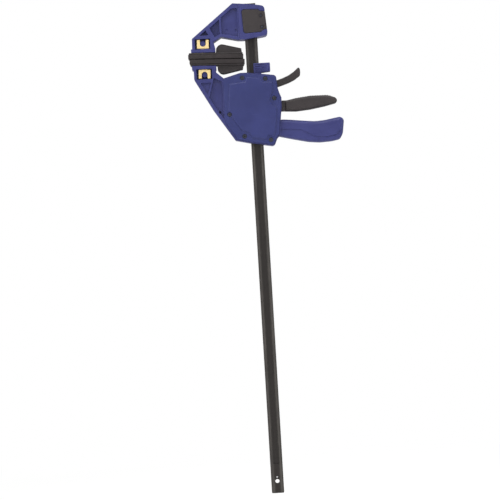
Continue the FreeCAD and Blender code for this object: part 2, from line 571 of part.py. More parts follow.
def makeBlock():
    body = newBody("ribbed_block")
    pad(polygon(body, "block_side", table("block")), "2 * dims.block_half")
    roundCorners(body, "block_round", table("block")[3:5], "dims.pad_round")
    pocket(polygon(body, "block_bar_way", box("-20", "dims.bar_wide / 2 + 0.3", "-(dims.bar_thick / 2 + 0.3)",
                                              "dims.bar_thick / 2 + 0.3"), plane="XY_Plane"), both=True)
    lines = [pocket(polygon(body, f"block_line_{n}", box(f"dims.block_line_{n}",
                                                         f"dims.block_line_{n} + dims.block_line",
                                                         "690", "730"), offset="dims.block_half"),
                    "dims.block_line_deep") for n in ("one", "two")]
    mirror(body, lines, "block_lines_rear")
    rib = pad(polygon(body, "rib", box("dims.rib_left", "dims.rib_right", "dims.rib_first",
                                       "dims.rib_first + dims.rib_tall"), offset="dims.block_half"),
              "dims.rib_stand", both=False)
    rear = pad(polygon(body, "rib_rear", box("dims.rib_left", "dims.rib_right", "dims.rib_first",
                                             "dims.rib_first + dims.rib_tall"),
                       offset="-dims.block_half"), "dims.rib_stand", both=False, back=True)
    row = body.newObject("PartDesign::LinearPattern", "rib_row")
    row.Originals = [rib, rear]
    row.Direction = (planeOf(body, "Z_Axis"), [""])
    row.setExpression("Length", "4 * dims.rib_step")
    row.Occurrences = 5
    body.Tip = row
    doc.recompute()
    return body


def makeTrigger():
    body = newBody("trigger", x="dims.trigger_x", z="dims.trigger_z")
    grip = table("trigger_grip")
    pad(polygon(body, "grip_side", grip), "2 * dims.grip_half")
    roundCorners(body, "grip_tip_round", grip[4:7], "dims.grip_tip")
    roundCorners(body, "grip_curve", grip[1:4] + grip[7:10], "dims.grip_bend")
    half = value("dims.grip_half")
    dress(body, "Fillet", "grip_round", rim(body.Tip.Shape, half, lambda p: True), "dims.grip_round")
    yoke = table("trigger_yoke")
    pad(polygon(body, "yoke_side", yoke), "2 * dims.yoke_half")
    roundCorners(body, "yoke_round", yoke[:2], "5.9")
    pad(circles(body, "nose", [("dims.nose_x", "dims.nose_z", "dims.yoke_nose")]), "2 * dims.yoke_half")
    pocket(polygon(body, "yoke_way", box("-20", "dims.yoke_end", "-dims.yoke_in", "dims.yoke_in"),
                   plane="XY_Plane"), both=True)
    pocket(circles(body, "pivot_hole", [("0", "0", "dims.trigger_pin + dims.pin_run")]), both=True)
    return body


def makeBrakePlate():
    body = newBody("brake_plate", x="dims.brake_x", z="dims.brake_z", tilt="-dims.brake_tilt")
    half = "dims.brake_thick / 2"
    pad(polygon(body, "brake_side", box("0", "dims.brake_neck", "-" + half, half)), "2 * dims.brake_half")
    pad(circles(body, "brake_end", [("0", "0", half)]), "2 * dims.brake_half")
    pad(polygon(body, "brake_tongue", box("dims.brake_neck - 1", "dims.brake_long", "-" + half, half)),
        "2 * dims.brake_tongue")
    left = "dims.brake_centre - dims.brake_window / 2"
    right = "dims.brake_centre + dims.brake_window / 2"
    pocket(polygon(body, "brake_way", box(left, right, "-dims.brake_window_y / 2",
                                          "dims.brake_window_y / 2"), plane="XY_Plane"), both=True)
    return body


def makeLever():
    body = newBody("release_lever", x="dims.brake_x", z="dims.brake_z", tilt="-dims.brake_tilt")
    outline = table("lever")
    pad(polygon(body, "lever_side", outline), "2 * dims.lever_half")
    roundCorners(body, "lever_tip_round", outline[5:9], "dims.lever_tip")
    roundCorners(body, "lever_curve", outline[2:5] + outline[9:12], "dims.lever_bend")
    half = value("dims.lever_half")
    dress(body, "Fillet", "lever_round", rim(body.Tip.Shape, half, lambda p: p.x > 50), "dims.lever_round")
    pocket(polygon(body, "lever_socket", box("dims.lever_x_0_at - 2", "dims.brake_long",
                                             "-dims.brake_thick / 2", "dims.brake_thick / 2")),
           "2 * dims.brake_tongue", both=True)
    return body


def makeDrivePlates():
    plates = []
    for n, low in enumerate(("dims.plate_low", "(dims.plate_low + dims.plate_thick + dims.plate_gap)")):
        plates.append(windowed(f"drive_plate_{n}", "dims.plate_left", "dims.plate_right",
                               "dims.plate_half", low, "dims.plate_thick", "dims.plate_run"))
    return group("drive_plates", plates)


def makeGuide(name):
    low = f"dims.{name}_guide_low"
    return windowed({"top": "top_guide", "low": "bottom_guide"}[name], "-dims.guide_half_x",
                    "dims.guide_half_x", "dims.guide_half_y", low,
                    f"dims.{name}_guide_high - {low}", "dims.guide_run")


def makeParts():
    upper, lower = makePadParts("upper", True), makePadParts("lower", False)
    for face, carrier, clip, steps in (upper, lower):
        mirror(clip, list(steps), clip.Name + "_rear")
    return [
        makeBar(), roundBar("stop_pin", "dims.stop_rad", "dims.stop_long", "0", "dims.stop_z"),
        makeUpperJaw(), makeCap(), makeRivets(),
        roundBar("jaw_dowel", "dims.dowel_rad", "dims.dowel_long", "0", "dims.dowel_z"),
        *upper[:3], *lower[:3],
        makeHousing(), makeCover(), makeScrews(), makeGuide("top"), makeGuide("low"), makeBlock(),
        windowed("spring_seat", "dims.seat_left", "dims.seat_right", "dims.seat_half", "dims.seat_low",
                 "dims.seat_thick", "0.5"),
        roundBar("trigger_pin", "dims.trigger_pin", "dims.pin_long", "dims.trigger_x", "dims.trigger_z"),
        makeTrigger(), makeDrivePlates(), coil("drive_spring", "dims.coil_low", "dims.coil_high",
                                               "dims.coil_pitch"),
        makeBrakePlate(), makeLever(),
        coil("brake_spring", "dims.brake_coil_low", "dims.brake_coil_high", "dims.brake_coil_pitch"),
    ]


def export(nodes):
    doc.recompute()
    bad = [o.Name for o in doc.Objects if {"Invalid", "Error"} & set(o.State)]
    if bad:
        raise ValueError("failed objects: " + ", ".join(bad))
    for node in nodes:
        if node.Shape.isNull() or not node.Shape.isValid():
            raise ValueError(f"{node.Label} has no sound shape")
    os.makedirs("parts", exist_ok=True)
    for node in nodes:
        shape = node.Shape
        size = shape.BoundBox
        print(f"{node.Label}: {len(shape.Solids)} solid(s), {shape.Volume:.0f} mm3, "
              f"X {size.XMin:.1f}..{size.XMax:.1f}, Y {size.YMin:.1f}..{size.YMax:.1f}, "
              f"Z {size.ZMin:.1f}..{size.ZMax:.1f}")
        shape.exportStep(f"parts/{node.Label}.step")


export(makeParts())
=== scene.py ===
import json
import math
import bmesh
import bpy
from mathutils import Matrix, Vector
from mathutils.bvhtree import BVHTree
from mathutils.geometry import intersect_point_line


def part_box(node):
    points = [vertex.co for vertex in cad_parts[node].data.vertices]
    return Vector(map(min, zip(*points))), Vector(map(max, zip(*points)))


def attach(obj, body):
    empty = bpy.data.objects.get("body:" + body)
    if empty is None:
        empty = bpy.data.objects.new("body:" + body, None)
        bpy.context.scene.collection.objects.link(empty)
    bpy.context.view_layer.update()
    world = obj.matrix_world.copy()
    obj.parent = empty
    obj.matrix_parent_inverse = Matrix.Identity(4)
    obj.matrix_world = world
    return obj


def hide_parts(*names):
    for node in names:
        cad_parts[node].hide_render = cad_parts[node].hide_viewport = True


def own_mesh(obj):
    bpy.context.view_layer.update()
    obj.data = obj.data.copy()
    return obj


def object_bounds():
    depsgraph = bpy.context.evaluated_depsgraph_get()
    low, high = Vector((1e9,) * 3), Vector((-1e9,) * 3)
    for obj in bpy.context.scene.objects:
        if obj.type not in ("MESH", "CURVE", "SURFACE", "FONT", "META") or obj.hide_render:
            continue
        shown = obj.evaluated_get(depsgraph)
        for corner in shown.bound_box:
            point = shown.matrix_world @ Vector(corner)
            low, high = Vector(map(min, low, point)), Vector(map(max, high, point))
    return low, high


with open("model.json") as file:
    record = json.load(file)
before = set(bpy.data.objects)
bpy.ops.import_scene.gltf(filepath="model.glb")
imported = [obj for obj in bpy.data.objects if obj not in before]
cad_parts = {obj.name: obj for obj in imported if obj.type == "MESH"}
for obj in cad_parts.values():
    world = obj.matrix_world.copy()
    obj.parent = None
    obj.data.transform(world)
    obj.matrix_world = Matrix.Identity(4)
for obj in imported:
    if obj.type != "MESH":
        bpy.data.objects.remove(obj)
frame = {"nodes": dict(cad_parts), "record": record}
cadLow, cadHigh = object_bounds()
scene = bpy.context.scene
print("frame loaded")

mm = 0.001


# camera, light and floor

cameraSet = {"aim": (-0.0235, 0.3994), "wide": 0.860, "away": 4.0, "lean": 3.41, "sensor": 36.0,
             "sees": 60.0}
lightSet = {"sky": 0.55, "floorDrop": 0.06, "floorReach": 4.0, "fade": (0.35, 1.5),
            "floorColour": (0.92, 0.92, 0.915, 1), "floorRough": 0.8, "warmth": (0.0, 0.06, 0.14)}
# name: place, aim, size in metres, power in watts, warmth
softLights = {
    "topLight": ((-0.25, -0.7, 2.3), (0, 0, 0.6), (1.5, 1.2), 26.0, 0.1),
    "leftLight": ((-1.9, -0.8, 1.1), (0, 0, 0.55), (1.2, 2.0), 20.0, 0.1),
    "rightLight": ((1.9, -0.9, 0.8), (0, 0, 0.55), (1.2, 2.0), 13.0, 0.0),
    "frontLight": ((-0.4, -3.2, 1.2), (0, 0, 0.5), (1.6, 1.6), 12.0, 0.0),
    "backLight": ((0.7, 1.8, 1.7), (0, 0, 0.5), (1.5, 1.2), 16.0, 0.0),
}


def makeCamera(c):
    cam = bpy.data.cameras.new("camera")
    cam.sensor_width = c["sensor"]
    cam.lens = c["sensor"] * c["away"] / c["wide"]
    cam.clip_end = c["sees"]
    ob = bpy.data.objects.new("camera", cam)
    scene.collection.objects.link(ob)
    s, k = math.sin(math.radians(c["lean"])), math.cos(math.radians(c["lean"]))
    turn = Matrix(((k, s, 0), (0, 0, -1), (-s, k, 0)))  # columns: right, up, back
    ob.matrix_world = Matrix.Translation((c["aim"][0], -c["away"], c["aim"][1])) @ turn.to_4x4()
    scene.camera = ob


def areaLight(name, at, toward, size, power, warm):
    data = bpy.data.lights.new(name, "AREA")
    data.shape = "RECTANGLE"
    data.size, data.size_y = size
    data.energy = power
    data.color = [1.0 - share * warm for share in lightSet["warmth"]]
    ob = bpy.data.objects.new(name, data)
    scene.collection.objects.link(ob)
    ob.location = at
    ob.rotation_euler = (Vector(toward) - Vector(at)).to_track_quat("-Z", "Y").to_euler()


def paleFloor(c):
    # catches the shadow near the part and fades to the background's white further out
    mat = bpy.data.materials.new("paleFloor")
    mat.use_nodes = True
    nt = mat.node_tree
    shader, out = nt.nodes["Principled BSDF"], nt.nodes["Material Output"]
    shader.inputs["Base Color"].default_value = c["floorColour"]
    shader.inputs["Roughness"].default_value = c["floorRough"]
    far = nt.nodes.new("ShaderNodeVectorMath")
    far.operation = "LENGTH"
    nt.links.new(nt.nodes.new("ShaderNodeTexCoord").outputs["Object"], far.inputs[0])
    fade = nt.nodes.new("ShaderNodeMapRange")
    fade.interpolation_type = "SMOOTHSTEP"
    fade.inputs["From Min"].default_value, fade.inputs["From Max"].default_value = c["fade"]
    nt.links.new(far.outputs["Value"], fade.inputs["Value"])
    seen = nt.nodes.new("ShaderNodeMath")
    seen.operation = "MULTIPLY"
    nt.links.new(fade.outputs["Result"], seen.inputs[0])
    nt.links.new(nt.nodes.new("ShaderNodeLightPath").outputs["Is Camera Ray"], seen.inputs[1])
    glow, mix = nt.nodes.new("ShaderNodeEmission"), nt.nodes.new("ShaderNodeMixShader")
    glow.inputs["Color"].default_value = (1, 1, 1, 1)
    nt.links.new(seen.outputs[0], mix.inputs[0])
    nt.links.new(shader.outputs[0], mix.inputs[1])
    nt.links.new(glow.outputs[0], mix.inputs[2])
    nt.links.new(mix.outputs[0], out.inputs["Surface"])
    return mat


def makeStage(c):
    world = bpy.data.worlds.new("softSky")
    scene.world = world
    world.use_nodes = True
    nt = world.node_tree
    nt.nodes.clear()
    out = nt.nodes.new("ShaderNodeOutputWorld")
    mix = nt.nodes.new("ShaderNodeMixShader")
    path = nt.nodes.new("ShaderNodeLightPath")
    soft, seen = nt.nodes.new("ShaderNodeBackground"), nt.nodes.new("ShaderNodeBackground")
    soft.inputs["Strength"].default_value = c["sky"]
    soft.inputs["Color"].default_value = (1, 1, 1, 1)
    seen.inputs["Color"].default_value = (1, 1, 1, 1)
    nt.links.new(path.outputs["Is Camera Ray"], mix.inputs[0])
    nt.links.new(soft.outputs[0], mix.inputs[1])
    nt.links.new(seen.outputs[0], mix.inputs[2])
    nt.links.new(mix.outputs[0], out.inputs[0])
    for name, values in softLights.items():
        areaLight(name, *values)
    mesh = bpy.data.meshes.new("floor")
    r, z = c["floorReach"], cadLow.z - c["floorDrop"]
    mesh.from_pydata([(-r, -r, z), (r, -r, z), (r, r, z), (-r, r, z)], [], [(0, 1, 2, 3)])
    floor = bpy.data.objects.new("floor", mesh)
    scene.collection.objects.link(floor)
    mesh.materials.append(paleFloor(c))


scene.view_settings.view_transform = "Standard"
makeCamera(cameraSet)
makeStage(lightSet)
print("camera, light and floor")


# shader groups shared by the finishes: stretches of their noises, and the steps cut from them

wearSet = {"samples": 4, "turned": (0.995, 0.86), "patch": (0.42, 0.66)}
grainSet = {"fineScale": 0.6, "pits": 0.55, "grit": 0.7, "shade": (0.3, 0.7)}
markSet = {"along": (900.0, 900.0, 26.0), "alongCut": (0.63, 0.72), "across": (40.0, 300.0, 700.0),
           "acrossCut": (0.68, 0.76), "smudge": 34.0, "smudgeCut": (0.35, 0.7)}
# painted highlight strips on the bar's raised edges and painted shade in its web: steepness and
# streaking of both
sheenAndShadeSet = {"innerRise": 1200.0, "outerFall": 900.0, "webRise": 1500.0,
            "streak": (420.0, 420.0, 14.0), "streakCut": (0.34, 0.66), "faintest": 0.25}


def groupOf(name, inputs, outputs):
    tree = bpy.data.node_groups.new(name, "ShaderNodeTree")
    for label, kind, value in inputs:
        socket = tree.interface.new_socket(label, in_out="INPUT", socket_type=kind)
        socket.default_value = value
    for label, kind in outputs:
        tree.interface.new_socket(label, in_out="OUTPUT", socket_type=kind)
    return tree, tree.nodes.new("NodeGroupInput"), tree.nodes.new("NodeGroupOutput")


def mathNode(tree, operation, a, b=None, clamp=False):
    node = tree.nodes.new("ShaderNodeMath")
    node.operation, node.use_clamp = operation, clamp
    for slot, value in ((0, a), (1, b)):
        if isinstance(value, (int, float)):
            node.inputs[slot].default_value = value
        elif value is not None:
            tree.links.new(value, node.inputs[slot])
    return node.outputs[0]


def spread(tree, value, low, high, start=0.0, end=1.0):
    node = tree.nodes.new("ShaderNodeMapRange")
    node.interpolation_type = "SMOOTHSTEP"
    tree.links.new(value, node.inputs["Value"])
    for label, v in (("From Min", low), ("From Max", high), ("To Min", start), ("To Max", end)):
        node.inputs[label].default_value = v
    return node.outputs["Result"]


def noiseOf(tree, vector, scale, detail=2.0, rough=0.5):
    node = tree.nodes.new("ShaderNodeTexNoise")
    node.inputs["Detail"].default_value = detail
    node.inputs["Roughness"].default_value = rough
    tree.links.new(vector, node.inputs["Vector"])
    if isinstance(scale, (int, float)):
        node.inputs["Scale"].default_value = scale
    else:
        tree.links.new(scale, node.inputs["Scale"])
    return node.outputs["Fac"]


def placeOf(tree, stretch=None):
    coords = tree.nodes.new("ShaderNodeTexCoord").outputs["Object"]
    if not stretch:
        return coords
    node = tree.nodes.new("ShaderNodeMapping")
    node.inputs["Scale"].default_value = stretch
    tree.links.new(coords, node.inputs["Vector"])
    return node.outputs["Vector"]


def makeEdgeWear():
    # rubbed edges: where the rounded normal leaves the face's own
    tree, start, end = groupOf(
        "edgeRub", [("Radius", "NodeSocketFloat", 0.0012), ("Breakup", "NodeSocketFloat", 260.0),
                    ("Amount", "NodeSocketFloat", 0.5)], [("Mask", "NodeSocketFloat")])
    bevel = tree.nodes.new("ShaderNodeBevel")
    bevel.samples = wearSet["samples"]
    tree.links.new(start.outputs["Radius"], bevel.inputs["Radius"])
    flat = tree.nodes.new("ShaderNodeNewGeometry")
    dot = tree.nodes.new("ShaderNodeVectorMath")
    dot.operation = "DOT_PRODUCT"
    tree.links.new(bevel.outputs[0], dot.inputs[0])
    tree.links.new(flat.outputs["Normal"], dot.inputs[1])
    edge = spread(tree, dot.outputs["Value"], *wearSet["turned"])
    patches = noiseOf(tree, placeOf(tree), start.outputs["Breakup"], 3.0)
    patch = spread(tree, patches, *wearSet["patch"])
    tree.links.new(mathNode(tree, "MULTIPLY", mathNode(tree, "MULTIPLY", edge, patch),
                            start.outputs["Amount"], True), end.inputs["Mask"])
    return tree


def makeMouldGrain():
    # spark-eroded texture of a moulding: fine pits, and a slow change in shade
    tree, start, end = groupOf(
        "mouldGrain", [("Scale", "NodeSocketFloat", 1900.0), ("Drift", "NodeSocketFloat", 22.0)],
        [("Height", "NodeSocketFloat"), ("Shade", "NodeSocketFloat")])
    place = placeOf(tree)
    cells = tree.nodes.new("ShaderNodeTexVoronoi")
    tree.links.new(place, cells.inputs["Vector"])
    tree.links.new(start.outputs["Scale"], cells.inputs["Scale"])
    finer = mathNode(tree, "MULTIPLY", start.outputs["Scale"], grainSet["fineScale"])
    pits = mathNode(tree, "MULTIPLY", cells.outputs["Distance"], grainSet["pits"])
    grit = mathNode(tree, "MULTIPLY", noiseOf(tree, place, finer, 2.0), grainSet["grit"])
    tree.links.new(mathNode(tree, "ADD", pits, grit), end.inputs["Height"])
    drift = noiseOf(tree, place, start.outputs["Drift"], 4.0, 0.6)
    tree.links.new(spread(tree, drift, *grainSet["shade"]), end.inputs["Shade"])
    return tree


def makeHandlingMarks():
    # fine scuffs and smudges from use, stretched along one way
    tree, start, end = groupOf(
        "handlingMarks", [("Density", "NodeSocketFloat", 1.0)],
        [("Scratch", "NodeSocketFloat"), ("Smudge", "NodeSocketFloat")])
    along = noiseOf(tree, placeOf(tree, markSet["along"]), 1.0, 3.0, 0.6)
    across = noiseOf(tree, placeOf(tree, markSet["across"]), 1.0, 2.0, 0.5)
    both = mathNode(tree, "MAXIMUM", spread(tree, along, *markSet["alongCut"]),
                    spread(tree, across, *markSet["acrossCut"]))
    tree.links.new(mathNode(tree, "MULTIPLY", both, start.outputs["Density"], True),
                   end.inputs["Scratch"])
    smudge = noiseOf(tree, placeOf(tree), markSet["smudge"], 5.0, 0.62)
    tree.links.new(spread(tree, smudge, *markSet["smudgeCut"]), end.inputs["Smudge"])
    return tree


def makeFlangeSheenAndWebShade():
    # the bar's raised edges lightened in strips, painted highlight together with rub where the
    # carriage slides, and the web between them darkened as painted shade
    tree, start, end = groupOf(
        "flangeSheenAndWebShade",
        [("Inner", "NodeSocketFloat", 0.005), ("Outer", "NodeSocketFloat", 0.0095),
         ("Strength", "NodeSocketFloat", 0.3), ("Web Edge", "NodeSocketFloat", 0.004)],
        [("SheenAndRub", "NodeSocketFloat"), ("WebShade", "NodeSocketFloat")])
    parts = tree.nodes.new("ShaderNodeSeparateXYZ")
    tree.links.new(placeOf(tree), parts.inputs[0])
    across = mathNode(tree, "ABSOLUTE", parts.outputs["X"])

    def ramp(high, low, steepness):
        return mathNode(tree, "MULTIPLY", mathNode(tree, "SUBTRACT", high, low), steepness, True)

    rise = ramp(across, start.outputs["Inner"], sheenAndShadeSet["innerRise"])
    fall = ramp(start.outputs["Outer"], across, sheenAndShadeSet["outerFall"])
    streak = noiseOf(tree, placeOf(tree, sheenAndShadeSet["streak"]), 1.0, 4.0, 0.62)
    streak = spread(tree, streak, *sheenAndShadeSet["streakCut"], sheenAndShadeSet["faintest"], 1.0)
    # painted highlight along the raised edges, partly rub from the sliding carriage
    strip = mathNode(tree, "MULTIPLY", mathNode(tree, "MULTIPLY", rise, fall), streak)
    tree.links.new(mathNode(tree, "MULTIPLY", strip, start.outputs["Strength"], True),
                   end.inputs["SheenAndRub"])
    # painted shade: the sunken web darker along the whole bar
    tree.links.new(ramp(start.outputs["Web Edge"], across, sheenAndShadeSet["webRise"]),
                   end.inputs["WebShade"])
    return tree


edgeRub, mouldGrain = makeEdgeWear(), makeMouldGrain()
handlingMarks, flangeSheenAndWebShade = makeHandlingMarks(), makeFlangeSheenAndWebShade()


def useGroup(tree, group, **values):
    node = tree.nodes.new("ShaderNodeGroup")
    node.node_tree = group
    for label, value in values.items():
        node.inputs[label].default_value = value
    return node


def blendColour(tree, factor, a, b):
    node = tree.nodes.new("ShaderNodeMix")
    node.data_type = "RGBA"
    tree.links.new(factor, node.inputs[0])
    for slot, value in ((6, a), (7, b)):
        if isinstance(value, tuple):
            node.inputs[slot].default_value = value + (1.0,)
        else:
            tree.links.new(value, node.inputs[slot])
    return node.outputs[2]


def bumpOf(tree, height, distance, strength):
    node = tree.nodes.new("ShaderNodeBump")
    node.inputs["Distance"].default_value = distance
    node.inputs["Strength"].default_value = strength
    tree.links.new(height, node.inputs["Height"])
    return node.outputs["Normal"]


def newMaterial(name):
    mat = bpy.data.materials.new(name)
    mat.use_nodes = True
    return mat, mat.node_tree, mat.node_tree.nodes["Principled BSDF"]


# how strongly scratches, roughness changes and bumps show in each kind of finish
mouldShows = {"scratch": 0.35, "smoother": 0.05, "rougher": 0.07, "bump": 0.7}
metalShows = {"smoother": 0.08, "rougher": 0.1, "bump": 0.6, "drawnCut": (0.2, 0.8)}


def mouldedFinish(name, m):
    mat, tree, shader = newMaterial(name)
    grain = useGroup(tree, mouldGrain, Scale=m["grain"], Drift=m["drift"])
    marks = useGroup(tree, handlingMarks, Density=m["scuff"])
    rub = useGroup(tree, edgeRub, Radius=m["edge"], Amount=m["rub"])
    colour = blendColour(tree, grain.outputs["Shade"], m["dark"], m["light"])
    scratch = mathNode(tree, "MULTIPLY", marks.outputs["Scratch"], mouldShows["scratch"])
    colour = blendColour(tree, scratch, colour, m["rubbed"])
    colour = blendColour(tree, rub.outputs["Mask"], colour, m["rubbed"])
    tree.links.new(colour, shader.inputs["Base Color"])
    rough = spread(tree, marks.outputs["Smudge"], 0.0, 1.0, m["rough"] - mouldShows["smoother"],
                   m["rough"] + mouldShows["rougher"])
    tree.links.new(rough, shader.inputs["Roughness"])
    tree.links.new(bumpOf(tree, grain.outputs["Height"], m["pit"], mouldShows["bump"]),
                   shader.inputs["Normal"])
    shader.inputs["Specular IOR Level"].default_value = m["gloss"]
    return mat


def metalFinish(name, m):
    mat, tree, shader = newMaterial(name)
    marks = useGroup(tree, handlingMarks, Density=m["scuff"])
    rub = useGroup(tree, edgeRub, Radius=m["edge"], Amount=m["rub"])
    drawn = noiseOf(tree, placeOf(tree, m["drawn"]), 1.0, 4.0, 0.6)
    colour = blendColour(tree, marks.outputs["Smudge"], m["dark"], m["light"])
    scratch = mathNode(tree, "MULTIPLY", marks.outputs["Scratch"], m["scuff"])
    wearAndSheen = mathNode(tree, "MAXIMUM", scratch, rub.outputs["Mask"], True)
    if "sheenAndShade" in m:
        track = useGroup(tree, flangeSheenAndWebShade, **m["sheenAndShade"])
        # painted shade: the web colour darkens the sunken middle of the bar
        colour = blendColour(tree, track.outputs["WebShade"], colour, m["webShade"])
        # painted highlight: the flange strips lighten the bar with the same colour as its real worn
        # spots
        wearAndSheen = mathNode(tree, "MAXIMUM", wearAndSheen, track.outputs["SheenAndRub"], True)
    tree.links.new(blendColour(tree, wearAndSheen, colour, m["wearAndSheen"]), shader.inputs["Base Color"])
    if m["metal"] == 1.0:
        shader.inputs["Metallic"].default_value = 1.0
    else:
        tree.links.new(mathNode(tree, "MAXIMUM", wearAndSheen, m["metal"]), shader.inputs["Metallic"])
    rough = spread(tree, drawn, *metalShows["drawnCut"], m["rough"] - metalShows["smoother"],
                   m["rough"] + metalShows["rougher"])
    tree.links.new(rough, shader.inputs["Roughness"])
    tree.links.new(bumpOf(tree, drawn, m["pit"], metalShows["bump"]), shader.inputs["Normal"])
    shader.inputs["Specular IOR Level"].default_value = m["gloss"]
    return mat


blueMoulding = mouldedFinish("blueMoulding", {
    "dark": (0.021, 0.024, 0.122), "light": (0.030, 0.034, 0.152), "rubbed": (0.10, 0.11, 0.28),
    "grain": 1900.0, "drift": 24.0, "pit": 0.00006, "rough": 0.5, "edge": 0.0011, "rub": 0.45,
    "scuff": 0.35, "gloss": 0.38})
coverMoulding = mouldedFinish("coverMoulding", {
    "dark": (0.014, 0.020, 0.108), "light": (0.021, 0.028, 0.136), "rubbed": (0.09, 0.10, 0.27),
    "grain": 1900.0, "drift": 20.0, "pit": 0.00006, "rough": 0.47, "edge": 0.0011, "rub": 0.5,
    "scuff": 0.35, "gloss": 0.38})
blackMoulding = mouldedFinish("blackMoulding", {
    "dark": (0.019, 0.0145, 0.0155), "light": (0.027, 0.021, 0.022),
    "rubbed": (0.075, 0.066, 0.066),
    "grain": 1700.0, "drift": 30.0, "pit": 0.00008, "rough": 0.58, "edge": 0.001, "rub": 0.4,
    "scuff": 0.3, "gloss": 0.42})
softPad = mouldedFinish("softPad", {
    "dark": (0.021, 0.017, 0.0175), "light": (0.031, 0.025, 0.026), "rubbed": (0.08, 0.07, 0.07),
    "grain": 1200.0, "drift": 40.0, "pit": 0.00010, "rough": 0.72, "edge": 0.0012, "rub": 0.5,
    "scuff": 0.4, "gloss": 0.3})
yellowMoulding = mouldedFinish("yellowMoulding", {
    "dark": (0.66, 0.50, 0.22), "light": (0.76, 0.59, 0.28), "rubbed": (0.84, 0.72, 0.45),
    "grain": 1500.0, "drift": 60.0, "pit": 0.00004, "rough": 0.42, "edge": 0.0008, "rub": 0.35,
    "scuff": 0.2, "gloss": 0.45})
paleNylon = mouldedFinish("paleNylon", {
    "dark": (0.52, 0.51, 0.46), "light": (0.60, 0.59, 0.54), "rubbed": (0.66, 0.65, 0.6),
    "grain": 1200.0, "drift": 40.0, "pit": 0.00003, "rough": 0.45, "edge": 0.0008, "rub": 0.2,
    "scuff": 0.3, "gloss": 0.45})
# the bar's web colour is painted shade, and its worn-metal colour also paints a highlight along the
# raised edges
darkBarSteel = metalFinish("darkBarSteel", {
    "dark": (0.018, 0.0145, 0.0125), "light": (0.031, 0.0255, 0.0225), "wearAndSheen": (0.16, 0.15, 0.14),
    "drawn": (1500.0, 1500.0, 22.0), "pit": 0.00003, "rough": 0.5, "edge": 0.0008, "rub": 0.55,
    "scuff": 0.25, "metal": 0.15, "gloss": 0.45, "webShade": (0.012, 0.0085, 0.007),
    "sheenAndShade": {"Inner": 0.0050, "Outer": 0.0096, "Strength": 0.30, "Web Edge": 0.0040}})
brightSteel = metalFinish("brightSteel", {
    "dark": (0.42, 0.42, 0.43), "light": (0.58, 0.58, 0.59), "wearAndSheen": (0.70, 0.70, 0.70),
    "drawn": (1200.0, 60.0, 900.0), "pit": 0.00002, "rough": 0.32, "edge": 0.0005, "rub": 0.5,
    "scuff": 0.3, "metal": 1.0, "gloss": 0.5})
springWire = metalFinish("springWire", {
    "dark": (0.26, 0.26, 0.27), "light": (0.38, 0.38, 0.40), "wearAndSheen": (0.55, 0.55, 0.55),
    "drawn": (700.0, 700.0, 700.0), "pit": 0.00002, "rough": 0.36, "edge": 0.0004, "rub": 0.3,
    "scuff": 0.2, "metal": 1.0, "gloss": 0.5})
blackScrewSteel = metalFinish("blackScrewSteel", {
    "dark": (0.026, 0.027, 0.040), "light": (0.046, 0.048, 0.066), "wearAndSheen": (0.22, 0.22, 0.24),
    "drawn": (1400.0, 1400.0, 1400.0), "pit": 0.00002, "rough": 0.42, "edge": 0.0004, "rub": 0.6,
    "scuff": 0.3, "metal": 0.6, "gloss": 0.5})
print("finishes")


# mouldings and steel parts, with their edges softened

finishOf = {"blue_plastic": blueMoulding, "black_plastic": blackMoulding, "soft_black": softPad,
            "yellow_plastic": yellowMoulding, "nylon": paleNylon, "black_steel": darkBarSteel,
            "pin_steel": brightSteel, "spring_steel": springWire, "screw_steel": blackScrewSteel}
ownFinish = {"front_cover": coverMoulding}  # parts that differ from their slot's finish
slotOf = {s["node"]: s["material_slot"] for s in frame["record"]["subparts"]}
bodyOf = {n: b for b, ns in frame["record"]["behaviour"]["bodies"].items() for n in ns}

# per part, in mm: width of its rounded edges, their steps, and the box inside that never shows
softEdges = {
    "upper_jaw": (0.8, 3), "housing": (0.8, 3, ((-34, -30, 584), (31.5, 17.5, 700))),
    "front_cover": (0.5, 3, ((-50, -19.8, 578), (45, -10, 701))), "ribbed_block": (0.3, 2),
    "jaw_cap": (0.5, 3), "upper_pad": (0.8, 3), "lower_pad": (0.8, 3),
    "upper_pad_carrier": (0.8, 3), "lower_pad_carrier": (0.8, 3), "upper_clip": (0.5, 3),
    "lower_clip": (0.5, 3), "trigger": (0.6, 3), "release_lever": (0.4, 2), "bar": (0.35, 2),
    "brake_plate": (0.25, 2), "drive_plates": (0.25, 2), "cap_rivets": (0.3, 2),
    "stop_pin": (0.25, 2),
}
roundingSet = {"sharpest": 28.0, "tries": 14, "reach": 1.6, "growth": 1.25, "smoothBelow": 36.0,
               "evenWeight": 80}
# metres, square metres and a cosine: welding distance, smallest face counted, face turned over
meshLimits = {"weld": 0.000002, "leastArea": 1e-11, "turnedOver": -0.5, "onLine": 0.00002}


def addPiece(name, mesh):
    piece = bpy.data.objects.new(name, mesh)
    scene.collection.objects.link(piece)
    return piece


def takeMesh(piece):
    # the evaluated mesh as a plain one, with the modifiers gone
    bpy.context.view_layer.update()
    shown = piece.evaluated_get(bpy.context.evaluated_depsgraph_get())
    baked = bpy.data.meshes.new_from_object(shown)
    piece.modifiers.clear()
    piece.data = baked


def shadeEdges(piece, angle, even=True):
    # smooth faces, with a sharp line wherever two meet at more than the angle
    mesh = piece.data
    if "custom_normal" in mesh.attributes:
        mesh.attributes.remove(mesh.attributes["custom_normal"])
    bm = bmesh.new()
    bm.from_mesh(mesh)
    for face in bm.faces:
        face.smooth = True
    limit = math.radians(angle)
    for edge in bm.edges:
        edge.smooth = len(edge.link_faces) == 2 and edge.calc_face_angle(0.0) < limit
    bm.to_mesh(mesh)
    bm.free()
    if even:
        weighted = piece.modifiers.new("evenFaces", "WEIGHTED_NORMAL")
        weighted.keep_sharp, weighted.weight = True, roundingSet["evenWeight"]
        takeMesh(piece)


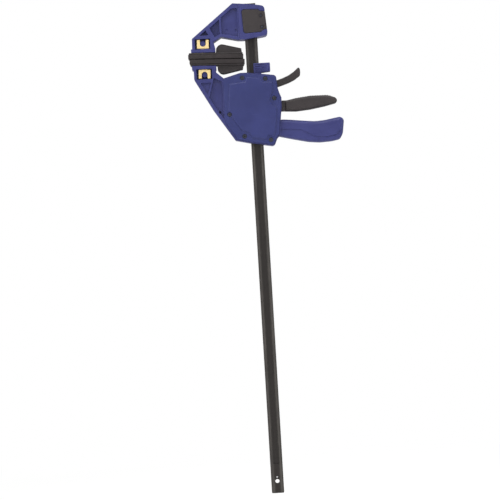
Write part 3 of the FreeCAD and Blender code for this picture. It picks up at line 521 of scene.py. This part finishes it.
def dress(piece, body, slot, *nodes):
    finish = ownFinish.get(nodes[0], finishOf[slot]) if nodes else finishOf[slot]
    piece.data.materials.clear()
    piece.data.materials.append(finish)
    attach(piece, body)
    if nodes:
        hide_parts(*nodes)


def weldedCopy(node):
    bm = bmesh.new()
    bm.from_mesh(frame["nodes"][node].data)
    bmesh.ops.remove_doubles(bm, verts=bm.verts, dist=meshLimits["weld"])
    return bm


def pieceFrom(name, bm):
    mesh = bpy.data.meshes.new(name)
    bm.to_mesh(mesh)
    return addPiece(name, mesh)


def beveled(name, bm, width, steps):
    piece = pieceFrom(name, bm)
    bevel = piece.modifiers.new("round", "BEVEL")
    bevel.width, bevel.segments = width * mm, steps
    bevel.limit_method = "WEIGHT"
    bevel.use_clamp_overlap = bevel.loop_slide = False
    takeMesh(piece)
    return piece


def foldedEdges(bm):
    # edges whose two faces look nearly opposite ways
    return [[v.co.copy() for v in e.verts] for e in bm.edges if len(e.link_faces) == 2
            and e.link_faces[0].normal.dot(e.link_faces[1].normal) < meshLimits["turnedOver"]
            and min(f.calc_area() for f in e.link_faces) > meshLimits["leastArea"]]


def onEdge(ends, a, b):
    return all((intersect_point_line(v, a, b)[0] - v).length < meshLimits["onLine"] for v in ends)


def foldSpots(mesh, acute):
    # where a rounding turned a face over; the part's own acute corners don't count
    bm = bmesh.new()
    bm.from_mesh(mesh)
    spots = [end for ends in foldedEdges(bm) for end in ends
             if not any(onEdge(ends, a, b) for a, b in acute)]
    bm.free()
    return spots


def nearAny(edge, spots, reach):
    a, b = (v.co for v in edge.verts)
    for spot in spots:
        along = min(1.0, max(0.0, intersect_point_line(spot, a, b)[1]))
        if (a.lerp(b, along) - spot).length < reach:
            return True
    return False


def within(point, box):
    return all(lo * mm < v < hi * mm for lo, v, hi in zip(box[0], point, box[1]))


def softened(node, width, steps, hidden=None):
    # rounds the outward edges that show, and leaves an edge sharp where its rounding would fold
    bm = weldedCopy(node)
    weights = bm.edges.layers.float.new("bevel_weight_edge")
    sharpest = math.radians(roundingSet["sharpest"])
    for edge in bm.edges:
        middle = (edge.verts[0].co + edge.verts[1].co) / 2
        sharp = edge.is_convex and edge.calc_face_angle(0.0) > sharpest
        edge[weights] = float(sharp and not (hidden and within(middle, hidden)))
    reach, acute = width * mm * roundingSet["reach"], foldedEdges(bm)
    for n in range(roundingSet["tries"]):
        piece = beveled(node + "Soft", bm, width, steps)
        spots = foldSpots(piece.data, acute)
        if not spots or n == roundingSet["tries"] - 1:
            break
        for edge in bm.edges:
            if edge[weights] and nearAny(edge, spots, reach):
                edge[weights] = 0.0
        reach *= roundingSet["growth"]
        bpy.data.objects.remove(piece)
    bm.free()
    if spots:
        print(node, "still has folds:", len(spots))
    shadeEdges(piece, roundingSet["smoothBelow"])
    dress(piece, bodyOf[node], slotOf[node], node)


for node, rounding in softEdges.items():
    softened(node, *rounding)
print("softened", len(softEdges), "parts")


# coil springs, each leaned on by a plate that would squeeze it to a share of its length; the coils
# are copied as they are, and the joint, foot and share listed here are not used

coilSet = {"drive_spring": {"joint": "drive_travel", "foot": 600.0, "keep": 0.82},
           "brake_spring": {"joint": "brake_release", "foot": 667.5, "keep": 0.42}}
coilSmooth = 50.0  # degrees between faces that still shade as one


def squeezedCoil(node):
    bm = weldedCopy(node)
    piece = pieceFrom(node + "Coil", bm)
    bm.free()
    shadeEdges(piece, coilSmooth)
    dress(piece, bodyOf[node], slotOf[node], node)
    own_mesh(piece)


for node, coil in coilSet.items():
    squeezedCoil(node)
print("springs")


# repeated details grown by geometry nodes: cover screws, pad tread and trigger grip

# all in mm, except From and To, which are shares of the trigger's length
screwSet = {"Head Radius": 3.5, "Head Height": 1.8, "Rim": 0.35, "Drive Long": 4.2,
            "Drive Wide": 0.95, "Drive Depth": 1.1, "Shank Radius": 1.7, "Shank Length": 5.9}
ribInputs = ("Pitch", "Rib Radius", "Rib Height", "Rib Length")
treadSet = {"Pitch": 4.0, "Rib Radius": 1.1, "Rib Height": 0.34, "Rib Length": 88.0,
            "Half Width": 14.0}
gripSet = {"Pitch": 4.2, "Rib Radius": 1.7, "Rib Height": 0.5, "Rib Length": 17.0,
           "From": 0.58, "To": 0.93}
facets = {"head": 40, "shank": 20, "rib": 16}
grownSet = {"smoothBelow": 40.0, "shankOverlap": 0.9, "gripSteps": 24, "padFacing": 0.9}
quarterTurn = (math.radians(90), 0.0, 0.0)


def newGrower(name, sizes):
    tree = bpy.data.node_groups.new(name, "GeometryNodeTree")
    tree.interface.new_socket("Geometry", in_out="INPUT", socket_type="NodeSocketGeometry")
    for label in sizes:
        tree.interface.new_socket(label, in_out="INPUT", socket_type="NodeSocketFloat")
    tree.interface.new_socket("Material", in_out="INPUT", socket_type="NodeSocketMaterial")
    tree.interface.new_socket("Geometry", in_out="OUTPUT", socket_type="NodeSocketGeometry")
    return tree, tree.nodes.new("NodeGroupInput").outputs, tree.nodes.new("NodeGroupOutput")


def nodeIn(tree, kind, settings=None, **values):
    node = tree.nodes.new(kind)
    for prop, setting in (settings or {}).items():
        setattr(node, prop, setting)
    for label, value in values.items():
        socket = node.inputs[label.replace("_", " ")]
        if isinstance(value, bpy.types.NodeSocket):
            tree.links.new(value, socket)
        else:
            socket.default_value = value
    return node


def vectorOf(tree, x, y, z):
    return nodeIn(tree, "ShaderNodeCombineXYZ", X=x, Y=y, Z=z).outputs[0]


def moved(tree, shape, **how):
    return nodeIn(tree, "GeometryNodeTransform", Geometry=shape.outputs[0], **how)


def finishGrower(tree, source, end, points, piece, turn):
    placed = nodeIn(tree, "GeometryNodeInstanceOnPoints", Points=points, Instance=piece,
                    Rotation=turn)
    real = nodeIn(tree, "GeometryNodeRealizeInstances", Geometry=placed.outputs[0])
    shown = nodeIn(tree, "GeometryNodeSetMaterial", Geometry=real.outputs[0],
                   Material=source["Material"])
    tree.links.new(shown.outputs[0], end.inputs[0])


def screwGrower():
    # built standing on Z with its top at 0, then turned to look along -Y
    tree, source, end = newGrower("coverScrew", screwSet)

    def times(value, share):
        return mathNode(tree, "MULTIPLY", value, share)

    def less(a, b):
        return mathNode(tree, "SUBTRACT", a, b)

    straight = less(source["Head Height"], source["Rim"])
    drum = nodeIn(tree, "GeometryNodeMeshCylinder", Vertices=facets["head"],
                  Radius=source["Head Radius"], Depth=straight)
    low = less(times(straight, -0.5), source["Rim"])
    drum = moved(tree, drum, Translation=vectorOf(tree, 0.0, 0.0, low))
    rim = nodeIn(tree, "GeometryNodeMeshCone", Vertices=facets["head"],
                 Radius_Bottom=source["Head Radius"],
                 Radius_Top=less(source["Head Radius"], source["Rim"]), Depth=source["Rim"])
    rim = moved(tree, rim, Translation=vectorOf(tree, 0.0, 0.0, times(source["Rim"], -1.0)))
    shank = nodeIn(tree, "GeometryNodeMeshCylinder", Vertices=facets["shank"],
                   Radius=source["Shank Radius"], Depth=source["Shank Length"])
    below = less(times(source["Shank Length"], -0.5),
                 times(source["Head Height"], grownSet["shankOverlap"]))
    shank = moved(tree, shank, Translation=vectorOf(tree, 0.0, 0.0, below))
    whole = tree.nodes.new("GeometryNodeMeshBoolean")
    whole.operation = "UNION"
    for part in (drum, rim, shank):
        tree.links.new(part.outputs[0], whole.inputs["Mesh 2"])
    cross = tree.nodes.new("GeometryNodeMeshBoolean")
    cross.operation = "DIFFERENCE"
    tree.links.new(whole.outputs[0], cross.inputs["Mesh 1"])
    deep = times(source["Drive Depth"], 2.0)
    for x, y in (("Drive Long", "Drive Wide"), ("Drive Wide", "Drive Long")):
        slot = nodeIn(tree, "GeometryNodeMeshCube", Size=vectorOf(tree, source[x], source[y], deep))
        tree.links.new(slot.outputs[0], cross.inputs["Mesh 2"])
    finishGrower(tree, source, end, source["Geometry"], cross.outputs[0], quarterTurn)
    return tree


def ribGrower():
    # rounded ribs, half sunk, at even steps along the path it is given and square to it
    tree, source, end = newGrower("ribRow", ribInputs)
    path = nodeIn(tree, "GeometryNodeMeshToCurve", Mesh=source["Geometry"])
    steps = nodeIn(tree, "GeometryNodeResampleCurve", {"mode": "LENGTH"}, Curve=path.outputs[0],
                   Length=source["Pitch"])
    rod = nodeIn(tree, "GeometryNodeMeshCylinder", Vertices=facets["rib"],
                 Radius=source["Rib Radius"], Depth=source["Rib Length"])
    flat = mathNode(tree, "DIVIDE", source["Rib Height"], source["Rib Radius"])
    rod = moved(tree, rod, Rotation=quarterTurn)
    rod = moved(tree, rod, Scale=vectorOf(tree, 1.0, 1.0, flat))
    along = nodeIn(tree, "FunctionNodeAlignRotationToVector", {"axis": "X"},
                   Vector=tree.nodes.new("GeometryNodeInputTangent").outputs[0])
    finishGrower(tree, source, end, steps.outputs[0], rod.outputs[0], along.outputs[0])
    return tree


def grow(name, tree, points, edges, sizes, body, slot, *nodes, place=None):
    mesh = bpy.data.meshes.new(name)
    mesh.from_pydata(points, edges, [])
    piece = addPiece(name, mesh)
    grower = piece.modifiers.new(name, "NODES")
    grower.node_group = tree
    for item in tree.interface.items_tree:
        if item.in_out == "INPUT" and item.name in sizes:
            grower[item.identifier] = sizes[item.name] * mm
        elif item.in_out == "INPUT" and item.name == "Material":
            grower[item.identifier] = finishOf[slot]
    takeMesh(piece)
    if place:
        piece.data.transform(place)
    shadeEdges(piece, grownSet["smoothBelow"], even=False)
    dress(piece, body, slot, *nodes)


def islands(bm):
    # the separate lumps of a welded mesh, each as its lowest and highest corners
    left, found = set(bm.verts), []
    while left:
        stack, lump = [left.pop()], []
        while stack:
            vert = stack.pop()
            lump.append(vert.co)
            for edge in vert.link_edges:
                other = edge.other_vert(vert)
                if other in left:
                    left.remove(other)
                    stack.append(other)
        found.append([Vector(pick(co[i] for co in lump) for i in range(3)) for pick in (min, max)])
    return found


def makeScrews():
    bm = weldedCopy("cover_screws")
    tops = [((lo.x + hi.x) / 2, lo.y, (lo.z + hi.z) / 2) for lo, hi in islands(bm)]
    bm.free()
    grow("coverScrews", screwGrower(), tops, [], screwSet, "carriage", "screw_steel",
         "cover_screws")


def makeTread(tree, node, sign):
    # long ribs side by side, laid on the pad's own gripping face
    mesh = frame["nodes"][node].data
    facing = [p for p in mesh.polygons if p.normal.z * sign > grownSet["padFacing"]]
    face = max(facing, key=lambda p: p.area)
    lo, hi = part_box(node)
    away = (lo.x + hi.x) / 2 - face.center.x
    middle = Vector((face.center.x + away, 0, face.center.z - away * face.normal.x / face.normal.z))
    lean = Matrix.Rotation(math.atan2(face.normal.x, face.normal.z * sign) * sign, 4, "Y")
    reach = treadSet["Half Width"] * mm
    grow(node + "Tread", tree, [(0, -reach, 0), (0, reach, 0)], [(0, 1)], treadSet, bodyOf[node],
         "soft_black", place=Matrix.Translation(middle) @ lean)


def makeGrip(tree):
    # ribs over the top of the trigger, where the palm rests
    bm = weldedCopy("trigger")
    hull = BVHTree.FromBMesh(bm)
    bm.free()
    lo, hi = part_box("trigger")
    points, steps = [], grownSet["gripSteps"]
    for n in range(steps + 1):
        x = lo.x + (hi.x - lo.x) * (gripSet["From"] + (gripSet["To"] - gripSet["From"]) * n / steps)
        above = Vector((x, 0, hi.z + 10 * mm))
        points.append(hull.ray_cast(above, Vector((0, 0, -1)))[0])
    grow("triggerGrip", tree, points, [(n, n + 1) for n in range(steps)], gripSet, "trigger",
         "black_plastic")


makeScrews()
ribTree = ribGrower()
makeTread(ribTree, "upper_pad", -1)
makeTread(ribTree, "lower_pad", 1)
makeGrip(ribTree)
print("screws, tread and grip")

for node, ob in frame["nodes"].items():
    if node not in softEdges and node not in coilSet and node != "cover_screws":
        ob.data.materials.clear()
        ob.data.materials.append(finishOf[slotOf[node]])
print("plain parts finished")
